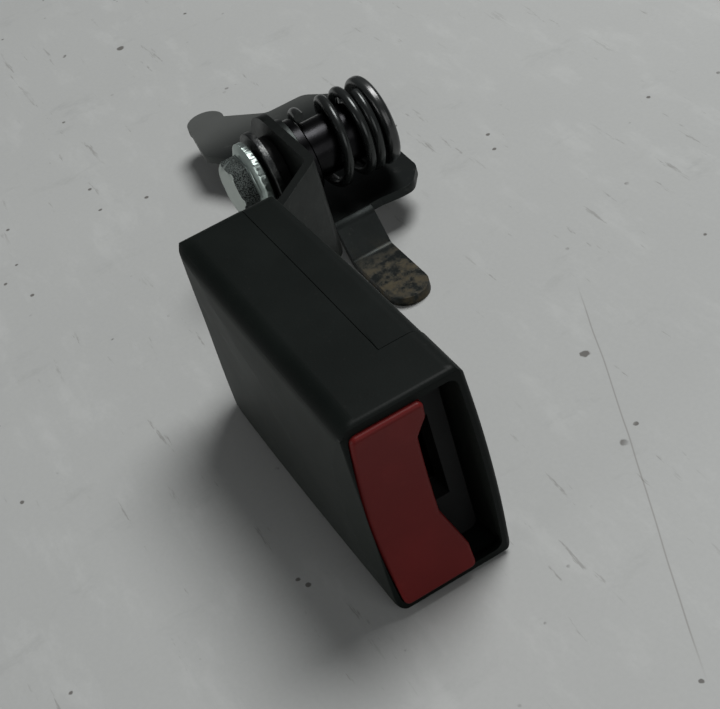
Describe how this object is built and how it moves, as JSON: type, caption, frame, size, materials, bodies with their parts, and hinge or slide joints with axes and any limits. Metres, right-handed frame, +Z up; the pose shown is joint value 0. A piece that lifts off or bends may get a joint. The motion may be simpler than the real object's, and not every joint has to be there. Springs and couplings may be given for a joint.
{
  "type": "seat belt buckle",
  "caption": "Push-button seat belt buckle on a cranked steel strap that swivels on an anchor bolt, with a torsion spring, pivot sleeve and stamped bracket.",
  "frame": {"origin": "middle of the whole assembly's footprint, on the surface that it lies on", "axes": "+Z up with the buckle lying on one narrow side, +X from the anchor bolt towards the buckle's mouth, +Y along the anchor bolt away from its head"},
  "size_m": [0.2408, 0.0968, 0.064],
  "materials": {
    "black_plastic": "fine-grained matt",
    "red_plastic": "fine-grained semi-matt",
    "guide_plastic": "matt",
    "white_plastic": "satin",
    "bush_plastic": "satin",
    "zinc_steel": "zinc plated",
    "bright_zinc": "bright zinc",
    "dark_steel": "phosphated, oiled",
    "bracket_steel": "phosphated",
    "black_spring": "black oiled",
    "spring_steel": "plain",
    "retainer_plastic": "satin"
  },
  "bodies": {
    "anchor": {"anchor_bracket": "bracket_steel", "pivot_sleeve": "dark_steel", "torsion_spring": "black_spring", "spring_retainer": "retainer_plastic"},
    "bolt": {"anchor_bolt": "bright_zinc", "lock_washer": "dark_steel"},
    "buckle": {"anchor_strap": "dark_steel", "pivot_bushing": "bush_plastic", "main_cover": "black_plastic", "back_cover": "black_plastic", "tongue_guide": "guide_plastic", "latch_frame": "zinc_steel", "frame_rivets": "zinc_steel", "latch_pin": "zinc_steel", "button_springs": "spring_steel", "ejector_spring": "spring_steel"},
    "button": {"press_button": "red_plastic"},
    "latch": {"latch_lever": "zinc_steel"},
    "ejector": {"ejector": "white_plastic"}
  },
  "joints": [
    {"name": "strap_swivel", "type": "hinge", "parent": "anchor", "child": "buckle", "pos_m": [-0.03656, 0.00597, 0.032], "axis": [0, 1, 0], "range_deg": [-80, 15], "stiffness_Nm_per_rad": 0.3},
    {"name": "bolt_spin", "type": "hinge", "parent": "anchor", "child": "bolt", "pos_m": [-0.03656, 0.00597, 0.032], "axis": [0, 1, 0], "continuous": true},
    {"name": "button_press", "type": "slide", "parent": "buckle", "child": "button", "axis": [-1, 0, 0], "range_m": [0, 0.004], "stiffness_N_per_m": 400, "deforming": ["button_springs"]},
    {"name": "latch_turn", "type": "hinge", "parent": "buckle", "child": "latch", "pos_m": [0.06344, -0.03383, 0.032], "axis": [0, 0, 1], "range_deg": [-12.01, 0]},
    {"name": "ejector_slide", "type": "slide", "parent": "buckle", "child": "ejector", "axis": [-1, 0, 0], "range_m": [0, 0.008], "stiffness_N_per_m": 100, "deforming": ["ejector_spring"]}
  ],
  "couplings": [
    {"joint": "latch_turn", "follows": "button_press", "rad_per_m": -52.36}
  ]
}
